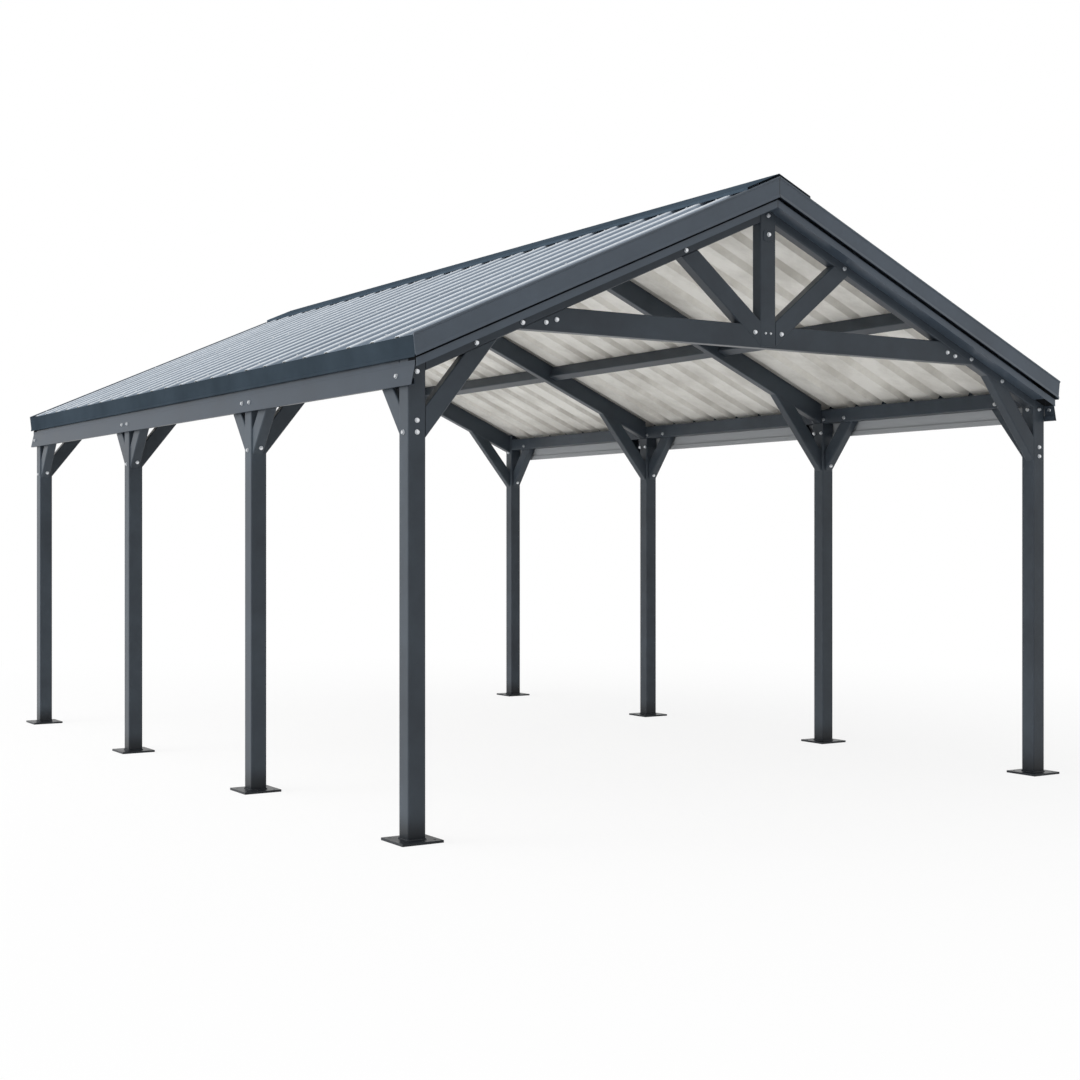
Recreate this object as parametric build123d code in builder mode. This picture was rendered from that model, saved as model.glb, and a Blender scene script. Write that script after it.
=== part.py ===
"""A gable-roofed steel carport: eight posts on base plates, knee-braced headers, four pairs of rafters,
a king-post truss in the front gable, and ribbed roof sheets with folded trims.

Millimetres. X runs across the drive, Y from the front gable to the back one, Z up, and the origin is on
the ground at the middle of the post grid. A drop is a distance below the roof line, square to the slope.
"""

import os
from math import atan2, cos, hypot, radians, sin, tan

from build123d import *

# Driving dimensions of the frame
span = 4100.0
front_bay = 1800.0
bay = 2000.0
bay_count = 3
eave_height = 2275.0
roof_rise = 940.0
brace_drop = 450.0
brace_reach = 380.0
collar_gap = 122.0

# Posts and base plates
post_width = 90.0
plate_width = 210.0
plate_thick = 12.0
plate_hole_spacing = 150.0
plate_hole = 14.0

# Tubes: width across the bar's frame and depth within it
tube_wall = 4.0
tube_corner = 7.0
rafter_width = 60.0
rafter_depth = 120.0
gable_rafter_depth = 135.0
collar_depth = 118.0
king_width = 100.0
strut_depth = 98.0
strut_lift = 20.0
strut_angle = radians(39.0)
lap_foot = 8.0
brace_width = 60.0
brace_depth = 88.0
brace_inset = 8.0
purlin_width = 70.0
purlin_depth = 84.0
purlin_run_share = 0.6
ridge_beam_width = 60.0
ridge_beam_depth = 84.0

# Brackets at the heads of the inner posts
bracket_height = 70.0
bracket_thick = 5.0
bracket_gap = 6.0

# Roof sheets and ridge cap
sheet_drop = 45.0
sheet_thick = 2.0
sheet_ridge_gap = 20.0
sheet_eave_gap = 1.0
rib_pitch = 250.0
rib_height = 49.0
rib_base = 96.0
rib_top = 38.0
cap_reach = 230.0
cap_lip = 12.0

# Folded trims
trim_thick = 3.0
eave_reach = 23.0
gable_reach = 94.0
fascia_depth = 90.0
fascia_lean = 10.0
drip_depth = 15.0
drip_reach = 6.0
shadow_gap = 11.0
strip_depth = 35.0
strip_setback = 14.0
board_depth = 108.0
board_crease = 20.0
board_flare = 19.0
board_setback = 25.0
lip_depth = 26.0
lip_gap = 14.0

# One overrun serves every bar that is drawn long and then cut
overrun = 400.0

# Places worked out from the dimensions above
half_span = span / 2
post_inner = half_span - post_width / 2
post_outer = half_span + post_width / 2
eave_line = post_outer + eave_reach
back_row = (front_bay + (bay_count - 1) * bay) / 2
rows = [-back_row, *(back_row - step * bay for step in reversed(range(bay_count)))]
front_frame = rows[0] - (post_width - rafter_width) / 2
frames = [front_frame, *rows[1:-1], -front_frame]
gable_line = back_row + post_width / 2 + gable_reach
ridge_height = eave_height + roof_rise
pitch = atan2(roof_rise, eave_line)
down_slope = (cos(pitch), 0, -sin(pitch))
off_slope = (sin(pitch), 0, cos(pitch))
rafter_low = sheet_drop + rafter_depth
gable_low = sheet_drop + gable_rafter_depth
lap_width = rafter_width + 2 * tube_wall
strip_low = fascia_depth + shadow_gap + strip_depth
rib_crest = sheet_drop - rib_height - sheet_thick
board_top = eave_height - fascia_depth / cos(pitch) - shadow_gap


def roof_height(x, drop):
    """Height of the line that lies a drop below the roof line, at a distance x from the ridge."""
    return ridge_height - x * tan(pitch) - drop / cos(pitch)


# Heights that follow the roof, and the lean of the knee braces from the upright
header_foot = roof_height(post_inner, rafter_low)
header_top = roof_height(post_outer, sheet_drop)
brace_foot = eave_height - brace_drop
brace_head = post_inner - brace_reach
brace_angle = atan2(brace_reach, roof_height(brace_head, gable_low) - brace_foot)
collar_foot = roof_height(brace_head - collar_gap, gable_low)
collar_top = collar_foot + collar_depth


def slope_plane(run, drop, y):
    """Section plane of the right slope: its X along the ridge, its Y off the slope, its Z down the slope."""
    x = run * cos(pitch) - drop * sin(pitch)
    z = ridge_height - run * sin(pitch) - drop * cos(pitch)
    return Plane(origin=(x, y, z), x_dir=(0, 1, 0), z_dir=down_slope)


def drop_plane(drop):
    """The plane that lies a drop below the right slope's roof line, facing the sky."""
    return Plane(origin=(0, 0, roof_height(0, drop)), x_dir=(0, 1, 0), z_dir=off_slope)


def x_plane(x):
    """The upright plane along the drive, a distance x to the right of the ridge."""
    return Plane.YZ.offset(x)


def tube_section(width, depth):
    """Draws a hollow tube's section in the sketch that is open."""
    RectangleRounded(width, depth, tube_corner)
    Rectangle(width - 2 * tube_wall, depth - 2 * tube_wall, mode=Mode.SUBTRACT)


def cut_under_slopes(drop):
    """Cuts the part that is open at a drop below both slopes, and keeps what is under them."""
    split(bisect_by=drop_plane(drop), keep=Keep.BOTTOM)
    peak = (0, 0, roof_height(0, drop))
    split(bisect_by=Plane(origin=peak, x_dir=(0, 1, 0), z_dir=(-sin(pitch), 0, cos(pitch))), keep=Keep.BOTTOM)


def outline(*points, mode=Mode.ADD):
    """Draws a closed outline, at its own coordinates, in the sketch that is open."""
    Polygon(*points, align=None, mode=mode)


def mirrored(piece, plane):
    """The piece's twin on the other side of a plane."""
    with BuildPart() as twin:
        mirror(piece, about=plane)
    return twin.part


def write(piece, node):
    """Labels a piece and writes it as a node of its own."""
    piece.label = node
    export_step(piece, f"parts/{node}.step")


def write_sides(right_piece, node):
    """Writes a right-hand piece and its left-hand twin."""
    write(right_piece, f"right_{node}")
    write(mirrored(right_piece, Plane.YZ), f"left_{node}")


def build_post(y, corner):
    """A square tube welded on its base plate. A corner post runs up to the roof sheet."""
    with BuildPart() as post:
        with BuildSketch(Plane.XY.offset(plate_thick)):
            with Locations((half_span, y)):
                tube_section(post_width, post_width)
        extrude(amount=ridge_height)
        if corner:
            split(bisect_by=drop_plane(sheet_drop), keep=Keep.BOTTOM)
        else:
            split(bisect_by=Plane.XY.offset(header_foot), keep=Keep.BOTTOM)
        with BuildSketch():
            with Locations((half_span, y)):
                Rectangle(plate_width, plate_width)
                with GridLocations(plate_hole_spacing, plate_hole_spacing, 2, 2):
                    Circle(plate_hole / 2, mode=Mode.SUBTRACT)
        extrude(amount=plate_thick)
    return post.part


def build_brackets():
    """Open collars around the heads of the inner posts, which seat the headers."""
    outer_x = post_outer - bracket_gap
    depth = outer_x - post_inner + bracket_thick
    with BuildPart() as brackets:
        with BuildSketch(Plane.XY.offset(header_foot - bracket_height)):
            for y in rows[1:-1]:
                with Locations((outer_x - depth / 2, y)):
                    Rectangle(depth, post_width + 2 * bracket_thick)
                with Locations((half_span, y)):
                    Rectangle(post_width, post_width, mode=Mode.SUBTRACT)
        extrude(amount=bracket_height)
        mirror(about=Plane.YZ)
    return brackets.part


def build_header():
    """The tube along the eave, on the inner posts and between the corner posts."""
    length = back_row - post_width / 2
    with BuildPart() as header:
        with BuildSketch(Plane.XZ):
            with Locations((half_span, (header_foot + header_top) / 2)):
                tube_section(post_width, header_top - header_foot)
        extrude(amount=length, both=True)
    return header.part


def build_rafter(y, depth):
    """A rectangular tube from the ridge to the post's inner face, with plumb cuts at both ends."""
    with BuildPart() as rafter:
        with BuildSketch(slope_plane(0, sheet_drop + depth / 2, y)):
            tube_section(rafter_width, depth)
        extrude(amount=eave_line + overrun, both=True)
        split(bisect_by=Plane.YZ, keep=Keep.TOP)
        split(bisect_by=x_plane(post_inner), keep=Keep.BOTTOM)
    return rafter.part


def build_purlin():
    """Tubes between the rafters, a little past half-way down the slope, under the sheet."""
    run = purlin_run_share * post_inner / cos(pitch)
    centre = slope_plane(run, sheet_drop + purlin_depth / 2, 0).origin
    with BuildPart() as purlin:
        for front, back in zip(frames, frames[1:]):
            start = Vector(centre.X, front + rafter_width / 2, centre.Z)
            with BuildSketch(Plane(origin=start, x_dir=down_slope, z_dir=(0, 1, 0))):
                tube_section(purlin_width, purlin_depth)
            extrude(amount=back - front - rafter_width)
    return purlin.part


def build_ridge_beam():
    """Beams between the frames under the ridge, with tops bevelled to both slopes."""
    half_width = ridge_beam_width / 2
    peak = roof_height(0, sheet_drop)
    shoulder = roof_height(half_width, sheet_drop)
    with BuildPart() as beam:
        for front, back in zip(frames, frames[1:]):
            with BuildSketch(Plane.XZ.offset(-(front + rafter_width / 2))):
                outline(
                    (-half_width, peak - ridge_beam_depth),
                    (half_width, peak - ridge_beam_depth),
                    (half_width, shoulder),
                    (0, peak),
                    (-half_width, shoulder),
                )
                offset(amount=-tube_wall, kind=Kind.INTERSECTION, mode=Mode.SUBTRACT)
            extrude(amount=-(back - front - rafter_width))
    return beam.part


def build_collar_tie(y):
    """The truss's level tie, its ends cut to the undersides of the rafters."""
    middle = collar_foot + collar_depth / 2
    with BuildPart() as tie:
        with BuildSketch(Plane(origin=(0, y, middle), x_dir=(0, 1, 0), z_dir=(1, 0, 0))):
            tube_section(rafter_width, collar_depth)
        extrude(amount=half_span, both=True)
        cut_under_slopes(gable_low)
    return tie.part


def cut_tie_notch(y):
    """Notches the part that is open for the collar tie, so that only its cheeks lap the tie's two faces."""
    with Locations((0, y, collar_top - collar_depth / 2)):
        Box(span, rafter_width, collar_depth, mode=Mode.SUBTRACT)


def build_king_post(y):
    """The truss's upright. Its cheeks lap the tie at the foot, and the rafters up to the verge strip."""
    shoulder = roof_height(king_width, gable_low)
    with BuildPart() as king:
        with BuildSketch(Plane(origin=(0, y, collar_foot + lap_foot))):
            tube_section(king_width, lap_width)
        extrude(amount=roof_rise)
        cut_under_slopes(strip_low)
        cut_tie_notch(y)
        with BuildSketch(Plane.XZ.offset(-y)):
            outline(
                (0, roof_height(0, gable_low)),
                (king_width, shoulder),
                (king_width, ridge_height),
                (-king_width, ridge_height),
                (-king_width, shoulder),
            )
        extrude(amount=rafter_width / 2, both=True, mode=Mode.SUBTRACT)
    return king.part


def build_struts(y):
    """The truss's two slanting struts, from the king post to the rafters. Their cheeks lap the tie."""
    along = (cos(strut_angle), 0, sin(strut_angle))
    start_x = king_width / 2 + strut_depth / 2 * sin(strut_angle)
    start_z = collar_top + strut_lift - strut_depth / 2 * cos(strut_angle)
    with BuildPart() as struts:
        with BuildSketch(Plane(origin=(start_x, y, start_z), x_dir=(0, 1, 0), z_dir=along)):
            tube_section(lap_width, strut_depth)
        extrude(amount=half_span, both=True)
        split(bisect_by=drop_plane(gable_low), keep=Keep.BOTTOM)
        split(bisect_by=x_plane(king_width / 2), keep=Keep.TOP)
        split(bisect_by=Plane.XY.offset(collar_foot + lap_foot), keep=Keep.TOP)
        cut_tie_notch(y)
        mirror(about=Plane.YZ)
    return struts.part


def build_rafter_brace(y, low):
    """A knee brace in the plane of a frame, from the post to the rafter's underside at a drop."""
    along = (-sin(brace_angle), 0, cos(brace_angle))
    start_x = post_inner + brace_depth / 2 * cos(brace_angle)
    start_z = brace_foot + brace_depth / 2 * sin(brace_angle)
    with BuildPart() as brace:
        with BuildSketch(Plane(origin=(start_x, y, start_z), x_dir=(0, 1, 0), z_dir=along)):
            tube_section(brace_width, brace_depth)
        extrude(amount=half_span / 2, both=True)
        split(bisect_by=x_plane(post_inner), keep=Keep.BOTTOM)
        split(bisect_by=drop_plane(low), keep=Keep.BOTTOM)
    return brace.part


def build_rafter_braces():
    """The knee braces of one side in the planes of the four frames."""
    gables = [build_rafter_brace(y, gable_low) for y in (frames[0], frames[-1])]
    inner = [build_rafter_brace(y, rafter_low) for y in frames[1:-1]]
    with BuildPart() as braces:
        add(gables + inner)
    return braces.part


def build_eave_brace(y, way):
    """A knee brace along the eave, from a post to the header, leaning forward or back."""
    along = (0, way * sin(brace_angle), cos(brace_angle))
    face_y = y + way * post_width / 2
    start_y = face_y - way * brace_depth / 2 * cos(brace_angle)
    start_z = brace_foot + brace_depth / 2 * sin(brace_angle)
    start_x = post_outer - brace_inset - brace_width / 2
    with BuildPart() as brace:
        with BuildSketch(Plane(origin=(start_x, start_y, start_z), x_dir=(1, 0, 0), z_dir=along)):
            tube_section(brace_width, brace_depth)
        extrude(amount=half_span / 2, both=True)
        split(bisect_by=Plane(origin=(0, face_y, 0), x_dir=(1, 0, 0), z_dir=(0, way, 0)), keep=Keep.TOP)
        split(bisect_by=Plane.XY.offset(header_foot), keep=Keep.BOTTOM)
    return brace.part


def build_eave_braces():
    """Every knee brace along one eave: one at a corner post and two at an inner post."""
    forward = [build_eave_brace(y, -1) for y in rows[1:]]
    back = [build_eave_brace(y, 1) for y in rows[:-1]]
    with BuildPart() as braces:
        add(forward + back)
    return braces.part


def build_eave_board():
    """A folded board along the posts' outer faces: upright at its top, flared below, with a lip inside."""
    crease = board_top - board_crease
    foot = board_top - board_depth
    length = gable_line - board_setback
    with BuildPart() as board:
        with BuildSketch(Plane.XZ):
            with BuildLine():
                Polyline(
                    (post_outer, board_top),
                    (post_outer, crease),
                    (post_outer + board_flare, foot),
                    (post_outer + board_flare - lip_gap, foot),
                    (post_outer + board_flare - lip_gap, foot + lip_depth),
                )
                offset(amount=trim_thick, side=Side.LEFT, kind=Kind.INTERSECTION)
            make_face()
        extrude(amount=length, both=True)
    return board.part


def build_eave_fascia():
    """The trim along the eave: a leaning face with a drip edge, and a shelf under the sheet to the header."""
    foot = eave_height - fascia_depth / cos(pitch)
    drip = foot + drip_depth
    shelf = eave_line - fascia_lean / 2 - trim_thick / 2
    length = gable_line - trim_thick
    with BuildPart() as fascia:
        with BuildSketch(Plane.XZ):
            with BuildLine():
                Polyline(
                    (eave_line, eave_height),
                    (eave_line - fascia_lean, drip),
                    (eave_line - fascia_lean + drip_reach, foot),
                )
                offset(amount=trim_thick, side=Side.RIGHT, kind=Kind.INTERSECTION)
            make_face()
            outline(
                (post_outer, roof_height(post_outer, sheet_drop)),
                (shelf, roof_height(shelf, sheet_drop)),
                (shelf, roof_height(shelf, sheet_drop + trim_thick)),
                (post_outer, roof_height(post_outer, sheet_drop + trim_thick)),
            )
        extrude(amount=length, both=True)
    return fascia.part


def eave_cut():
    """The plane of the eave fascia's outer face, where the gable trims end."""
    return Plane(origin=(eave_line, 0, eave_height), x_dir=(0, 1, 0), z_dir=(fascia_depth, 0, -fascia_lean))


def build_gable_fascia():
    """The front right gable trim: a face with a drip edge, and a shelf under the sheet to the rafter."""
    rafter_face = front_frame - rafter_width / 2
    with BuildPart() as fascia:
        with BuildSketch(slope_plane(0, 0, -gable_line)):
            with Locations(((rafter_face + gable_line + trim_thick) / 2, -sheet_drop - trim_thick / 2)):
                Rectangle(rafter_face + gable_line - trim_thick, trim_thick)
        extrude(amount=eave_line + overrun, both=True)
        split(bisect_by=x_plane(post_inner), keep=Keep.BOTTOM)
        with BuildSketch(slope_plane(0, 0, -gable_line)):
            with BuildLine():
                Polyline(
                    (0, 0),
                    (0, drip_depth - fascia_depth),
                    (-drip_reach, -fascia_depth),
                )
                offset(amount=trim_thick, side=Side.LEFT, kind=Kind.INTERSECTION)
            make_face()
        extrude(amount=eave_line + overrun, both=True)
        split(bisect_by=Plane.YZ, keep=Keep.TOP)
        split(bisect_by=eave_cut(), keep=Keep.BOTTOM)
    return fascia.part


def build_verge_strip():
    """The front right strip below the gable trim: an upright face and a soffit back to the rafter."""
    strip_y = strip_setback - gable_line
    rafter_face = front_frame - rafter_width / 2
    with BuildPart() as strip:
        with BuildSketch(slope_plane(0, 0, strip_y)):
            with Locations(((rafter_face - strip_y) / 2, trim_thick / 2 - strip_low)):
                Rectangle(rafter_face - strip_y, trim_thick)
        extrude(amount=eave_line + overrun, both=True)
        split(bisect_by=x_plane(post_inner), keep=Keep.BOTTOM)
        with BuildSketch(slope_plane(0, 0, strip_y)):
            with Locations((trim_thick / 2, strip_depth / 2 - strip_low)):
                Rectangle(trim_thick, strip_depth)
        extrude(amount=eave_line + overrun, both=True)
        split(bisect_by=Plane.YZ, keep=Keep.TOP)
        split(bisect_by=x_plane(post_outer), keep=Keep.BOTTOM)
    return strip.part


def build_roof_sheet():
    """The right slope's sheet, with trapezoid ribs that run from the ridge to the eave."""
    width = 2 * (gable_line - trim_thick)
    rib_count = int((width - rib_base) // rib_pitch) + 1
    side_rise = rib_height + sheet_thick
    side_run = (rib_base - rib_top) / 2
    wall_run = sheet_thick * hypot(side_rise, side_run) / side_rise
    lean = sheet_thick * side_run / side_rise
    with BuildPart() as sheet:
        with BuildSketch(slope_plane(sheet_ridge_gap, sheet_drop, 0)):
            with Locations((0, sheet_thick / 2)):
                Rectangle(width, sheet_thick)
            with GridLocations(rib_pitch, 0, rib_count, 1):
                outline(
                    (-rib_base / 2, 0),
                    (rib_base / 2, 0),
                    (rib_top / 2, rib_height + sheet_thick),
                    (-rib_top / 2, rib_height + sheet_thick),
                )
                outline(
                    (-rib_base / 2 + wall_run, 0),
                    (rib_base / 2 - wall_run, 0),
                    (rib_top / 2 - wall_run + lean, rib_height),
                    (-rib_top / 2 + wall_run - lean, rib_height),
                    mode=Mode.SUBTRACT,
                )
        extrude(amount=eave_line + overrun)
        split(bisect_by=eave_cut().offset(-trim_thick - sheet_eave_gap), keep=Keep.BOTTOM)
    return sheet.part


def build_ridge_cap():
    """A folded cap over both sides of the ridge, with turned-down lips that stand on the ribs."""
    reach = cap_reach * cos(pitch)
    lip_inner = reach - sheet_thick
    inner_drop = rib_crest - cap_lip
    outer_drop = inner_drop - sheet_thick
    with BuildPart() as cap:
        with BuildSketch(Plane.XZ):
            outline(
                (-reach, roof_height(reach, rib_crest)),
                (-lip_inner, roof_height(lip_inner, rib_crest)),
                (-lip_inner, roof_height(lip_inner, inner_drop)),
                (0, roof_height(0, inner_drop)),
                (lip_inner, roof_height(lip_inner, inner_drop)),
                (lip_inner, roof_height(lip_inner, rib_crest)),
                (reach, roof_height(reach, rib_crest)),
                (reach, roof_height(reach, outer_drop)),
                (0, roof_height(0, outer_drop)),
                (-reach, roof_height(reach, outer_drop)),
            )
        extrude(amount=gable_line - trim_thick, both=True)
    return cap.part


os.makedirs("parts", exist_ok=True)

for number, (row_y, frame_y) in enumerate(zip(rows, frames), start=1):
    at_gable = number in (1, len(rows))
    write_sides(build_post(row_y, at_gable), f"post_{number}")
    write_sides(build_rafter(frame_y, gable_rafter_depth if at_gable else rafter_depth), f"rafter_{number}")

write(build_brackets(), "post_brackets")
write_sides(build_header(), "header")
write_sides(build_purlin(), "purlin")
write(build_ridge_beam(), "ridge_beam")
write_sides(build_rafter_braces(), "rafter_braces")
write_sides(build_eave_braces(), "eave_braces")

write(build_collar_tie(front_frame), "front_collar_tie")
write(build_king_post(front_frame), "front_king_post")
write(build_struts(front_frame), "front_struts")

write_sides(build_eave_board(), "eave_board")
write_sides(build_eave_fascia(), "eave_fascia")
for trim, trim_name in ((build_gable_fascia(), "gable_fascia"), (build_verge_strip(), "verge_strip")):
    write_sides(trim, f"front_{trim_name}")
    write_sides(mirrored(trim, Plane.XZ), f"back_{trim_name}")

write_sides(build_roof_sheet(), "roof_sheet")
write(build_ridge_cap(), "ridge_cap")
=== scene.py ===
"""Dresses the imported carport: powder-coated tube and folded trims, ribbed galvanised roof sheets,
zinc-plated bolts and roof screws, weld beads at the post feet, a gusset on the king post, rolled hems on
the gable fascias and foam stops over the corner posts. It stands on a pale studio floor and is seen from
the left of its front gable. Lengths are in metres, in the frame of the CAD."""

from math import radians

import bmesh
import bpy
import numpy as np
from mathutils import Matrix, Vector


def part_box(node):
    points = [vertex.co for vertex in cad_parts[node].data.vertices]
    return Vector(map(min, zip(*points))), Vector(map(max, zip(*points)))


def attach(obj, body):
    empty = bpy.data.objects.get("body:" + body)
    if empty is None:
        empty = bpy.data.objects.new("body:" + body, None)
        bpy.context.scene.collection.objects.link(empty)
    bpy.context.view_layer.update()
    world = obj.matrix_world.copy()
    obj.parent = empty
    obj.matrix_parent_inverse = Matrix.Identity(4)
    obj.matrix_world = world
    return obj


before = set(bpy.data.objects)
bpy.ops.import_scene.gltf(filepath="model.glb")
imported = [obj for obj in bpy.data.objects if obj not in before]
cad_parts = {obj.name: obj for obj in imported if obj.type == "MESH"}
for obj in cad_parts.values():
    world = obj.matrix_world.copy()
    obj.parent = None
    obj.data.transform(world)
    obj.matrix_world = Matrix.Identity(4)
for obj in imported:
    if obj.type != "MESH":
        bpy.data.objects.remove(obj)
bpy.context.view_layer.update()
mm = 0.001

# Sizes of the CAD parts that the new pieces sit on. Drops go down from the roof line, square to the slope
post_half = 45 * mm
post_corner = 7 * mm
plate_top = 12 * mm
trim_thick = 3 * mm
rib_count, rib_pitch = 24, 250 * mm
rib_crest = -6 * mm

# The lines that the new pieces are set out from, read from the nodes
half_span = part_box("right_header")[1].x - post_half
post_rows = [sum(corner.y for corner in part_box(f"right_post_{row}")) / 2 for row in (1, 2, 3, 4)]
front_row, back_row = post_rows[0], post_rows[3]
ridge_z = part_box("right_front_gable_fascia")[1].z
eave_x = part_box("right_front_gable_fascia")[1].x
eave_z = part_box("right_eave_fascia")[1].z
slope = (ridge_z - eave_z) / eave_x
tie_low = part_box("front_collar_tie")[0].z
gable_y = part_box("right_roof_sheet")[1].y + trim_thick


def roof_z(x, drop):
    """Height of the line that lies a drop below the roof line, at a distance x from the ridge."""
    return ridge_z - slope * np.abs(x) - drop * np.hypot(1, slope)


def linear(code):
    """Linear colour of an sRGB hex code such as #3a4048."""
    values = [int(code[i:i + 2], 16) / 255 for i in (1, 3, 5)]
    return [v / 12.92 if v <= 0.04045 else ((v + 0.055) / 1.055) ** 2.4 for v in values] + [1.0]


def add(tree, kind, inputs=None, **settings):
    """Adds a node and sets its attributes. Sockets are linked to its inputs, and other values set there."""
    made = tree.nodes.new(kind)
    for name, value in settings.items():
        setattr(made, name, value)
    for name, value in (inputs or {}).items():
        if isinstance(value, bpy.types.NodeSocket):
            tree.links.new(value, made.inputs[name])
        else:
            made.inputs[name].default_value = value
    return made


# Sockets of a colour Mix node, which share their names with those of its other data types
FACTOR, FIRST, SECOND, RESULT = 0, 6, 7, 2


def mixed(tree, share, first, second):
    """A colour that goes from the first to the second as the share goes from 0 to 1."""
    inputs = {FACTOR: share, FIRST: first, SECOND: second}
    return add(tree, "ShaderNodeMix", inputs, data_type="RGBA").outputs[RESULT]


def ranged(tree, value, start, stop, low=0.0, high=1.0, pace="LINEAR"):
    """A number that goes from low to high while the value goes from start to stop, and no further."""
    inputs = {"Value": value, "From Min": start, "From Max": stop, "To Min": low, "To Max": high}
    return add(tree, "ShaderNodeMapRange", inputs, interpolation_type=pace).outputs[0]


def maths(tree, operation, *values):
    """The result of an operation on up to three numbers."""
    return add(tree, "ShaderNodeMath", dict(enumerate(values)), operation=operation).outputs[0]


def noise(tree, place, size, detail, roughness=0.5):
    """Cloudy noise with patches of about the size given."""
    inputs = {"Vector": place, "Scale": 1 / size, "Detail": detail, "Roughness": roughness}
    return add(tree, "ShaderNodeTexNoise", inputs).outputs[0]


def new_material(name):
    """An empty node material and its tree."""
    made = bpy.data.materials.new(name)
    made.use_nodes = True
    made.node_tree.nodes.clear()
    return made, made.node_tree


def shade(tree, inputs):
    """Ends a material's tree with a principled shader that has these inputs."""
    shader = add(tree, "ShaderNodeBsdfPrincipled", inputs)
    add(tree, "ShaderNodeOutputMaterial", {"Surface": shader.outputs[0]})


def powder_coat(name, deep, pale, sheen, back=None, mitred=False, shaded_feet=False):
    """Powder coat baked on steel. The eye sees a dark, even grey, cloudy over a few hundred millimetres,
    with a fine orange peel in its highlights. Sheen is the specular level, none on a matt fine-textured
    coat, which scatters it. A back colour is the thin grey primer on the inner side, the one that faces
    the ridge, between the corner posts, and past them the dark coat as painted shade. A mitred coat shows
    the dark joint where two trims meet under the ridge. Shaded feet take painted shade near the ground."""
    made, tree = new_material(name)
    coords = add(tree, "ShaderNodeTexCoord").outputs
    place = coords["Object"]
    at = add(tree, "ShaderNodeSeparateXYZ", {0: place}).outputs
    cloud = noise(tree, place, 420 * mm, 4.0, 0.6)
    colour = mixed(tree, ranged(tree, cloud, 0.3, 0.7), linear(deep), linear(pale))
    if back:
        # The place's x times the face's x is below zero where a face looks towards the ridge
        facing = add(tree, "ShaderNodeSeparateXYZ", {0: coords["Normal"]}).outputs["X"]
        inner = ranged(tree, maths(tree, "MULTIPLY", at["X"], facing), -1.0, -0.5, 1.0, 0.0)
        # Past the end posts the inner side keeps the dark coat: painted shade where the primer would be
        between_end_shades = maths(tree, "COMPARE", at["Y"], 0.0, back_row + 40 * mm)
        colour = mixed(tree, maths(tree, "MULTIPLY", inner, between_end_shades), colour, linear(back))
    if mitred:
        # The joint is about 1 mm wide, drawn at 4 mm so that it shows
        joint = maths(tree, "COMPARE", at["X"], 0.0, 2 * mm)
        colour = mixed(tree, joint, colour, linear("#15181b"))
    if shaded_feet:
        # Painted shade darkens the plates and fades out 160 mm up the posts
        foot_shade = ranged(tree, at["Z"], plate_top, 160 * mm, 0.8, 0.0, "SMOOTHERSTEP")
        colour = mixed(tree, foot_shade, colour, linear("#0f1216"))
    # The peel is about 3 mm across, drawn at 9 mm so that it shows
    peel = noise(tree, place, 9 * mm, 2.0)
    relief = add(tree, "ShaderNodeBump", {"Strength": 0.08, "Distance": 0.6 * mm, "Height": peel})
    shade(tree, {"Base Color": colour, "Roughness": ranged(tree, cloud, 0.0, 1.0, 0.28, 0.44),
                 "Normal": relief.outputs[0], "Specular IOR Level": sheen})
    return made


def galvanised_sheet():
    """Hot-dip galvanised steel sheet, rolled to ribs and back-coated. On top it is bright, with spangle
    and streaks down the slope; painted shade makes the ribs' sides darker, leaving the crests and upper
    edges bright. The underside is a pale warm-grey backing coat, smudged by handling."""
    made, tree = new_material("galvanised_back_coated_sheet")
    coords = add(tree, "ShaderNodeTexCoord").outputs
    place = coords["Object"]
    at = add(tree, "ShaderNodeSeparateXYZ", {0: place}).outputs
    facing = add(tree, "ShaderNodeSeparateXYZ", {0: coords["Normal"]}).outputs
    top = ranged(tree, facing["Z"], -0.3, -0.2)
    # Spangle crystals of 16 mm
    spangle = add(tree, "ShaderNodeTexVoronoi", {"Vector": place, "Scale": 1 / (16 * mm)})
    crystal = add(tree, "ShaderNodeSeparateColor", {0: spangle.outputs["Color"]}).outputs[0]
    # Streaks 60 mm wide along the ridge and about 1.5 m long down the slope
    drawn = add(tree, "ShaderNodeMapping", {"Vector": place, "Scale": (0.66, 16.0, 0.66)}).outputs[0]
    streaked = ranged(tree, noise(tree, drawn, 1.0, 5.0, 0.6), 0.3, 0.7)
    bright = mixed(tree, streaked, linear("#c5cdd5"), linear("#e0e6ec"))
    side_shade_colour = mixed(tree, streaked, linear("#6f7c8a"), linear("#8d9aa9"))
    # The painted shade starts 2 mm below a rib's crest and is full 8 mm below it, square to the slope
    level = maths(tree, "MULTIPLY_ADD", maths(tree, "ABSOLUTE", at["X"]), slope, at["Z"])
    full, bare = (float(roof_z(0, rib_crest + depth)) for depth in (8 * mm, 2 * mm))
    below_crest = ranged(tree, level, full, bare, 1.0, 0.0, "SMOOTHSTEP")
    # Painted shade on the ribs' sides that face along the ridge; it also makes them less metallic
    side = ranged(tree, maths(tree, "ABSOLUTE", facing["Y"]), 0.3, 0.5)
    side_shade = maths(tree, "MULTIPLY", below_crest, side)
    side_shaded = mixed(tree, side_shade, bright, side_shade_colour)
    flecked = mixed(tree, ranged(tree, crystal, 0.0, 1.0, 0.0, 0.16), side_shaded, linear("#8f99a5"))
    # Smudges about 350 mm across on the backing coat
    smudged = ranged(tree, noise(tree, place, 350 * mm, 6.0, 0.62), 0.36, 0.58)
    backing = mixed(tree, smudged, linear("#d5d2cb"), linear("#f1efe9"))
    metal = maths(tree, "MULTIPLY", ranged(tree, side_shade, 0.0, 1.0, 0.5, 0.2), top)
    shade(tree, {"Base Color": mixed(tree, top, backing, flecked), "Metallic": metal,
                 "Roughness": ranged(tree, crystal, 0.0, 1.0, 0.34, 0.5)})
    return made


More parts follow.
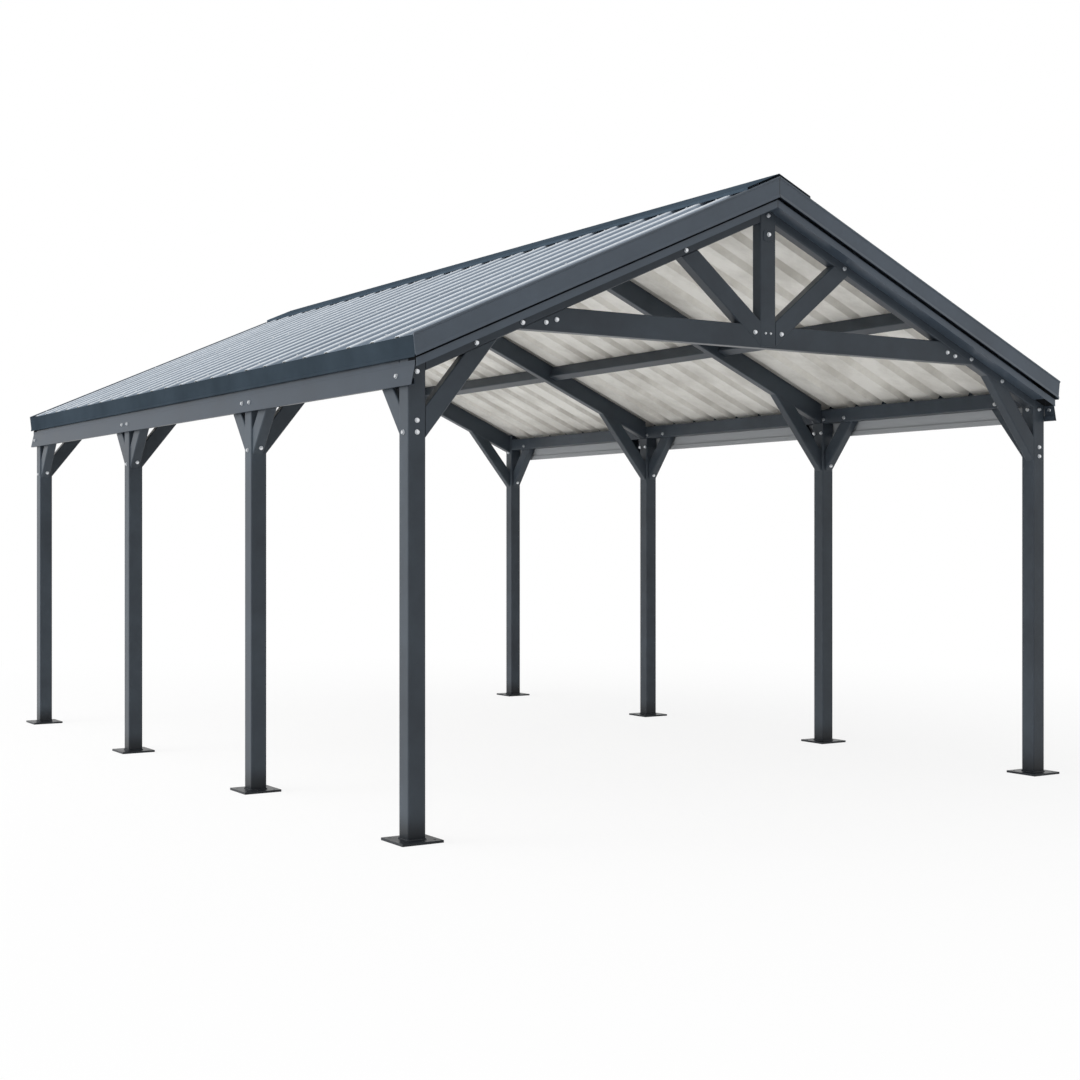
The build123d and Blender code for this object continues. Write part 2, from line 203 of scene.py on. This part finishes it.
def zinc_plate():
    """Bright zinc plated on steel bolts: a clean, slightly blue metal, duller in handled patches."""
    made, tree = new_material("zinc_plated_steel")
    place = add(tree, "ShaderNodeTexCoord").outputs["Object"]
    patch = noise(tree, place, 6 * mm, 3.0)
    shade(tree, {"Base Color": mixed(tree, patch, linear("#c3c7cc"), linear("#eef0f2")), "Metallic": 1.0,
                 "Roughness": ranged(tree, patch, 0.0, 1.0, 0.2, 0.42)})
    return made


def closed_cell_foam():
    """Closed-cell rubber foam, cut from a strip: a dull, porous black with hardly any highlight."""
    made, tree = new_material("closed_cell_foam_strip")
    place = add(tree, "ShaderNodeTexCoord").outputs["Object"]
    # Pores are about 1 mm across, drawn at 4 mm so that they show
    pores = add(tree, "ShaderNodeTexVoronoi", {"Vector": place, "Scale": 1 / (4 * mm)}).outputs["Distance"]
    shade(tree, {"Base Color": mixed(tree, pores, linear("#0b0c0e"), linear("#1d1f22")),
                 "Roughness": 0.9, "Specular IOR Level": 0.1})
    return made


tube_coat = powder_coat("satin_powder_coated_tube", "#2f353c", "#3d454d", 0.25, shaded_feet=True)
trim_coat = powder_coat("satin_powder_coated_folded_trim", "#3c4651", "#48535f", 0.5, mitred=True)
board_coat = powder_coat("satin_powder_coated_rolled_board", "#2f363e", "#384049", 0.15, back="#9c9fa2")
# The eave fascias take a darker, matt copy of the folded trim's coat: painted shade
eave_shaded_coat = powder_coat("matt_powder_coated_folded_trim_painted_shade", "#293138", "#323b43", 0.0)
ridge_coat = powder_coat("matt_powder_coated_folded_cap", "#37424c", "#434f5a", 0.0)
roof_zinc = galvanised_sheet()
bolt_zinc = zinc_plate()
# The foam's near-black stands in for the shade in the corners it fills: partly painted shade
stop_foam_and_shade = closed_cell_foam()

# The coat of each kind of node, by the end of its name; all the others are tube
coats = {"roof_sheet": roof_zinc, "gable_fascia": trim_coat, "verge_strip": trim_coat,
         "eave_board": board_coat, "eave_fascia": eave_shaded_coat, "ridge_cap": ridge_coat}
for node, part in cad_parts.items():
    part.data.materials.clear()
    part.data.materials.append(next((coat for end, coat in coats.items() if node.endswith(end)), tube_coat))


def surface(name, grids, material, closed_rows=False):
    """Makes a piece from grids of points, an array of copies by rows by columns by xyz. Columns close on
    themselves, rows too if asked. A row drawn together to one point closes an end. Columns crossed with
    rows face outwards."""
    copies, rows, columns, _ = grids.shape
    corner = np.arange(copies * rows * columns).reshape(copies, rows, columns)
    last = rows if closed_rows else rows - 1
    here, there = corner[:, :last], np.roll(corner, -1, axis=1)[:, :last]
    quads = np.stack([here, np.roll(here, -1, axis=2), np.roll(there, -1, axis=2), there], axis=-1)
    mesh = bpy.data.meshes.new(name)
    mesh.from_pydata(grids.reshape(-1, 3), [], quads.reshape(-1, 4))
    welded = bmesh.new()
    welded.from_mesh(mesh)
    bmesh.ops.remove_doubles(welded, verts=welded.verts, dist=1e-6)
    welded.to_mesh(mesh)
    welded.free()
    mesh.shade_smooth()
    mesh.set_sharp_from_angle(angle=radians(32))
    mesh.materials.append(material)
    piece = bpy.data.objects.new(name, mesh)
    bpy.context.scene.collection.objects.link(piece)
    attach(piece, "root")


def round_angles(columns):
    """Angles of a number of columns, evenly round a circle."""
    return np.linspace(0, 2 * np.pi, columns, endpoint=False)


def axes_for(ways):
    """Two axes across each direction, so that the two and the direction make a right-handed set. They are
    set out from the upright, or from x where the direction itself is nearly upright."""
    steady = np.where(np.abs(ways[:, 2:]) < 0.9, [[0.0, 0.0, 1.0]], [[1.0, 0.0, 0.0]])
    across = np.cross(steady, ways)
    across /= np.linalg.norm(across, axis=1, keepdims=True)
    return across, np.cross(ways, across)


def headed(places, ways, radii, heights):
    """Turned heads: radii, rows by columns, at the heights of the rows, swung round each way at its place."""
    angle = round_angles(radii.shape[1])
    across, along = axes_for(ways)
    spin = np.cos(angle)[None, :, None] * across[:, None] + np.sin(angle)[None, :, None] * along[:, None]
    return (places[:, None, None] + radii[None, :, :, None] * spin[:, None]
            + heights[None, :, None, None] * ways[:, None, None])


def hexagon(half_flats, angle):
    """Radius of a hexagon at an angle: half its flats' distance over the cosine from the nearest flat."""
    return half_flats / np.cos((angle + np.pi / 6) % (np.pi / 3) - np.pi / 6)


def bolt_tables(washer, half_flats, head, columns):
    """Radius and height tables of a hex bolt head on a washer. The profile goes from the centre under the
    washer out to its rim, in to the head's flats, up them, over a chamfer that is the lesser of hexagon
    and circle, to the centre. The washer's underside lies a little inside its seat."""
    flats, ring = hexagon(half_flats, round_angles(columns)), np.ones(columns)
    thick = 0.22 * washer
    sunk = -0.3 * thick
    under = [(0 * ring, sunk), (washer * ring, sunk)]
    rim = [(washer * ring, 0.8 * thick), (0.94 * washer * ring, thick)]
    sides = [(flats, thick), (flats, thick + 0.82 * head)]
    chamfer = [(np.minimum(flats, 1.02 * half_flats), thick + head)]
    crown = [(0.55 * half_flats * ring, thick + 1.04 * head), (0 * ring, thick + 1.05 * head)]
    radii, heights = zip(*under, *rim, *sides, *chamfer, *crown)
    return np.array(radii), np.array(heights)


def seated(node, point, way):
    """The place on a node's face under a point, looking along a way, and the face's outward direction."""
    way = Vector(way)
    hit, place, outward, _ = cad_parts[node].ray_cast(Vector(point) - way, way)
    assert hit, (node, point)
    return tuple(place), tuple(outward)


# Places of the bolts: heights, distances from the ridge, drops below the roof line, steps along the eave
brace_foot_z, post_head_z = (1.849, 1.902), 2.122
rafter_x, rafter_drop = (1.49, 1.74), 158 * mm
tie_end_xz = ((1.3, 2.408), (1.36, 2.391))
strut_foot_x, strut_foot_z = 0.088, tie_low + 78 * mm
strut_head_x, strut_head_drop = 0.53, 157 * mm
board_z, board_end_z, board_end_step = 2.104, 2.118, 0.077
corner_board_steps, inner_board_steps = (0.045,), (-0.05, 0.05)
bracket_z, bracket_steps = 2.079, (-0.034, 0.034)
header_z, header_steps, brace_head_steps = 2.17, (-0.052, 0.052), (-0.25, 0.25)
eave_brace_z = 1.86
king_bolt_z = (2.937, 3.036)
king_screw_x, king_screw_z = (-0.017, 0.017), tie_low + 77 * mm
gusset_z, gusset_thick = 2.931, 4 * mm

# The ways bolts are driven, where in and out are meant for the right side, and those at the end posts
driven_back, driven_front, driven_in, driven_out = (0, 1, 0), (0, -1, 0), (-1, 0, 0), (1, 0, 0)
ends = ((1, front_row, driven_back), (4, back_row, driven_front))


def post_bolts(number, row):
    """The bolts at the head of one right post: in the post, the eave board, the header, the collar and
    the braces. Each is a node, a point on the face that carries the bolt, and the way it is driven."""
    post, corner = f"right_post_{number}", number in (1, 4)
    bolts = [(post, (half_span, row, brace_foot_z[0]), driven_in)]
    bolts += [("right_eave_board", (half_span, row + step, board_z), driven_in)
              for step in (corner_board_steps if corner else inner_board_steps)]
    if corner:
        board_end = row + board_end_step * np.sign(row)
        bolts += [(post, (half_span, row, post_head_z), driven_out)]
        bolts += [("right_eave_board", (half_span, board_end, board_end_z), driven_out)]
    else:
        bolts += [("post_brackets", (half_span, row + step, bracket_z), driven_out)
                  for step in bracket_steps]
        bolts += [("right_header", (half_span, row + step, header_z), driven_out)
                  for step in header_steps]
    bolts += [("right_eave_braces", (half_span, row, eave_brace_z), way)
              for _, end, way in ends if row != end]
    bolts += [("right_header", (half_span, row + step, header_z), driven_out)
              for step in brace_head_steps if front_row < row + step < back_row]
    return bolts


def right_bolts():
    """The bolts of the right side: on the gables' faces, on the truss and at the heads of the posts."""
    bolts = [(f"right_post_{number}", (half_span, row, z), way)
             for number, row, way in ends for z in (*brace_foot_z, post_head_z)]
    bolts += [(f"right_rafter_{number}", (x, row, roof_z(x, rafter_drop)), way)
              for number, row, way in ends for x in rafter_x]
    bolts += [("front_collar_tie", (x, front_row, z), driven_back) for x, z in tie_end_xz]
    strut_head_z = roof_z(strut_head_x, strut_head_drop)
    bolts += [("front_struts", (strut_foot_x, front_row, strut_foot_z), driven_back)]
    bolts += [("right_rafter_1", (strut_head_x, front_row, strut_head_z), driven_back)]
    for number, row in enumerate(post_rows, start=1):
        bolts += post_bolts(number, row)
    return bolts


def bolt_seats():
    """Places and outward directions of all the bolts: those of the right side, their mirror images, and
    the two of the king post, the lower of which stands on the gusset."""
    right = np.array([seated(*bolt) for bolt in right_bolts()])
    king = np.array([seated("front_king_post", (0, front_row, z), driven_back) for z in king_bolt_z])
    king[0, 0, 1] -= gusset_thick
    both = np.concatenate([right, right * [-1, 1, 1], king])
    return both[:, 0], both[:, 1]


def king_screw_seats():
    """Places and outward directions of the two small screws at the foot of the king post."""
    seats = np.array([seated("front_king_post", (x, front_row, king_screw_z), driven_back)
                      for x in king_screw_x])
    return seats[:, 0], seats[:, 1]


def roof_screw_seats():
    """Places and outward directions of the screws on every rib: a grid of ribs along the ridge by lines
    down each slope, below the ridge cap, over the purlin and over the header."""
    ribs = (np.arange(rib_count) - (rib_count - 1) / 2) * rib_pitch
    lines = np.array([0.28, 1.2, 2.04])
    x, y = np.meshgrid(np.concatenate([-lines, lines]), ribs)
    lean = np.stack([slope * np.sign(x), 0 * x, 1 + 0 * x], axis=-1) / np.hypot(1, slope)
    return np.stack([x, y, roof_z(x, rib_crest)], axis=-1).reshape(-1, 3), lean.reshape(-1, 3)


frame_bolt = bolt_tables(washer=11.5 * mm, half_flats=8.5 * mm, head=6.4 * mm, columns=24)
king_screw = bolt_tables(washer=6 * mm, half_flats=4 * mm, head=3.4 * mm, columns=12)
roof_screw = bolt_tables(washer=8 * mm, half_flats=4.6 * mm, head=4 * mm, columns=6)
surface("frame_bolts", headed(*bolt_seats(), *frame_bolt), bolt_zinc)
surface("king_screws", headed(*king_screw_seats(), *king_screw), bolt_zinc)
surface("roof_screws", headed(*roof_screw_seats(), *roof_screw), bolt_zinc)


def verge_hems():
    """The rolled hem along the top of each gable's fascias: a circle carried up one slope, over the ridge
    and down the other, cut upright at the ridge and the eaves, its two ends drawn together to a point."""
    radius, drop = 6 * mm, -2 * mm
    angle = round_angles(16)
    girth = np.array([0, 1, 1, 1, 0])[:, None] * radius
    x = np.array([-1, -1, 0, 1, 1])[:, None] * eave_x + 0 * angle
    y = gable_y - trim_thick / 2 + girth * np.cos(angle)
    z = roof_z(x, drop) + girth * np.sin(angle) * np.hypot(1, slope)
    back = np.stack([x, y, z], axis=-1)
    return np.stack([back, back[:, ::-1] * [1, -1, 1]])


def corner_stops():
    """A foam stop over each corner post, between the gable rafter and the verge strip, where the soffit
    ends: a rectangle carried down the slope from the post's inner face to its outer face, its ends drawn
    together to a point. It is made for the right back corner and mirrored to the other three. A single
    mirror image takes its columns the other way round, so that it faces outwards too."""
    # The stops close the gap at each corner, and their near-black is also painted shade there
    half_length, near, far, high, low = 44 * mm, 46 * mm, 121 * mm, 46 * mm, 131 * mm
    x = half_span + np.array([-1, -1, 1, 1])[:, None] * half_length + np.zeros(4)
    y = back_row + np.array([near, far, far, near])
    drop = np.array([low, low, high, high])
    drawn = np.array([0, 1, 1, 0])[:, None]
    y, drop = y.mean() + drawn * (y - y.mean()), drop.mean() + drawn * (drop - drop.mean())
    right_back = np.stack([x, y, roof_z(x, drop)], axis=-1)
    left_back, right_front = right_back[:, ::-1] * [-1, 1, 1], right_back[:, ::-1] * [1, -1, 1]
    return np.stack([right_back, left_back, right_front, right_back * [-1, -1, 1]])


def foot_welds():
    """A fillet bead round each post's foot. Its section is a quarter circle between post and plate,
    closed behind and carried round the tube's rounded square. Its leg ripples by a cosine of the length."""
    leg, ripple, ripple_share, behind = 6 * mm, 5.5 * mm, 0.07, -0.2
    core, straight = post_half - post_corner, 0.9
    quarter = np.linspace(0, 1, 70, endpoint=False)
    run = np.clip(quarter / straight, 0, 1)
    turn = np.clip((quarter - straight) / (1 - straight), 0, 1) * np.pi / 2
    middle = np.stack([core + 0 * run, core * (2 * run - 1)], axis=1)
    normal = np.stack([np.cos(turn), np.sin(turn)], axis=1)
    sides = np.arange(4) * np.pi / 2
    turned = np.array([[np.cos(sides), -np.sin(sides)], [np.sin(sides), np.cos(sides)]])
    path = np.einsum("abk,ib->kia", turned, middle).reshape(-1, 2)
    away = np.einsum("abk,ib->kia", turned, normal).reshape(-1, 2)
    outline = path + post_corner * away
    length = np.cumsum(np.linalg.norm(np.diff(outline, axis=0, append=outline[:1]), axis=1))
    size = leg * (1 + ripple_share * np.cos(2 * np.pi * length / ripple))
    arc = np.linspace(0, np.pi / 2, 6)
    reach = np.concatenate([[behind], np.cos(arc), [behind]])
    rise = np.concatenate([[behind], np.sin(arc), [1.0]])
    flat = path[None] + away[None] * (post_corner + size[None, :, None] * reach[:, None, None])
    bead = np.concatenate([flat, plate_top + (size[None] * rise[:, None])[..., None]], axis=-1)
    feet = np.array([[x, row, 0] for x in (-half_span, half_span) for row in post_rows])
    return feet[:, None, None] + bead[None]


def king_gusset():
    """A small rounded plate on the king post's front: a superellipse of power 5, carried from its centre
    behind out to the rim, over a rounded edge, and to its centre in front."""
    half_width, half_height, power = 33 * mm, 29 * mm, 5
    angle = round_angles(48)
    across, upright = np.abs(np.cos(angle) / half_width), np.abs(np.sin(angle) / half_height)
    rim = (across ** power + upright ** power) ** (-1 / power)
    shares = np.array([0, 1, 1, 0.985, 0.95, 0])[:, None]
    depth = np.array([0.2, 0.2, -0.6, -0.88, -1, -1])[:, None] * gusset_thick
    place = Vector(seated("front_king_post", (0, front_row, gusset_z), driven_back)[0])
    x = place.x + shares * rim * np.cos(angle)
    z = place.z + shares * rim * np.sin(angle)
    y = place.y + depth + 0 * x
    return np.stack([x, y, z], axis=-1)[None]


surface("verge_hems", verge_hems(), trim_coat)
surface("corner_stops", corner_stops(), stop_foam_and_shade)
surface("foot_welds", foot_welds(), tube_coat, closed_rows=True)
surface("king_gusset", king_gusset(), tube_coat)


def white_for_eyes(tree, seen, other):
    """Shows one shader to camera, glossy and transmission rays, and the other to the rays that light."""
    path = add(tree, "ShaderNodeLightPath").outputs
    mirrored = maths(tree, "MAXIMUM", path["Is Glossy Ray"], path["Is Transmission Ray"])
    eyes = maths(tree, "MAXIMUM", path["Is Camera Ray"], mirrored)
    return add(tree, "ShaderNodeMixShader", {0: eyes, 1: other, 2: seen}).outputs[0]


def studio_floor():
    """A pale painted floor, 80 m across. It takes the carport's soft shadow and fades to plain white from
    3 m to 9 m away from its middle."""
    reach = 40
    corners = [(-reach, -reach, 0), (reach, -reach, 0), (reach, reach, 0), (-reach, reach, 0)]
    mesh = bpy.data.meshes.new("floor")
    mesh.from_pydata(corners, [], [(0, 1, 2, 3)])
    floor = bpy.data.objects.new("floor", mesh)
    bpy.context.scene.collection.objects.link(floor)
    made, tree = new_material("pale_floor_paint")
    place = add(tree, "ShaderNodeTexCoord").outputs["Object"]
    away = add(tree, "ShaderNodeVectorMath", {0: place}, operation="LENGTH").outputs["Value"]
    fade = ranged(tree, away, 3.0, 9.0, 0.84, 1.0, "SMOOTHSTEP")
    paint = add(tree, "ShaderNodeBsdfDiffuse", {"Color": linear("#f2f2f2")}).outputs[0]
    white = add(tree, "ShaderNodeEmission", {"Color": (1, 1, 1, 1), "Strength": 1.0}).outputs[0]
    seen = add(tree, "ShaderNodeMixShader", {0: fade, 1: paint, 2: white}).outputs[0]
    add(tree, "ShaderNodeOutputMaterial", {"Surface": white_for_eyes(tree, seen, paint)})
    mesh.materials.append(made)


def studio_light():
    """A soft white dome, brightest on the left and a little to the back, and two large soft lamps on the
    left: one higher than the roof, and one low and wide, whose light runs in under it. Metal shows the
    white surround, not the lamps."""
    world = bpy.data.worlds.new("studio")
    bpy.context.scene.world = world
    world.use_nodes = True
    tree = world.node_tree
    tree.nodes.clear()
    key = Vector((-0.92, 0.22, 0.32)).normalized()
    way = add(tree, "ShaderNodeTexCoord").outputs["Generated"]
    near_key = add(tree, "ShaderNodeVectorMath", {0: way, 1: key}, operation="DOT_PRODUCT").outputs["Value"]
    level = ranged(tree, near_key, -0.1, 1.0, 0.36, 1.7, "SMOOTHSTEP")
    dome = add(tree, "ShaderNodeBackground", {"Color": (1, 1, 1, 1), "Strength": level}).outputs[0]
    white = add(tree, "ShaderNodeBackground", {"Color": (1, 1, 1, 1), "Strength": 1.0}).outputs[0]
    add(tree, "ShaderNodeOutputWorld", {"Surface": white_for_eyes(tree, white, dome)})
    for name, width, height, power, place, aim in (
            ("high_lamp", 6.0, 6.0, 480.0, 12 * key + Vector((0, 0, 1.5)), -key),
            ("low_lamp", 8.0, 2.0, 240.0, Vector((-12, -1, 1.3)), Vector((1, 0.06, 0)))):
        lamp = bpy.data.lights.new(name, "AREA")
        lamp.shape, lamp.size, lamp.size_y, lamp.energy = "RECTANGLE", width, height, power
        holder = bpy.data.objects.new(name, lamp)
        holder.location = place
        holder.rotation_euler = aim.to_track_quat("-Z", "Y").to_euler()
        holder.visible_glossy = False
        bpy.context.scene.collection.objects.link(holder)


def photo_camera():
    """The camera stands at chest height, in front of the gable and to its left, and looks level."""
    lens = bpy.data.cameras.new("camera")
    lens.lens, lens.sensor_width, lens.shift_y = 55.645, 36.0, -0.00074
    camera = bpy.data.objects.new("camera", lens)
    camera.location = (-5.6199, -9.5787, 1.3666)
    camera.rotation_euler = (radians(90), 0, radians(-32.5))
    bpy.context.scene.collection.objects.link(camera)
    bpy.context.scene.camera = camera


studio_floor()
studio_light()
photo_camera()
bpy.context.scene.view_settings.view_transform = "Standard"
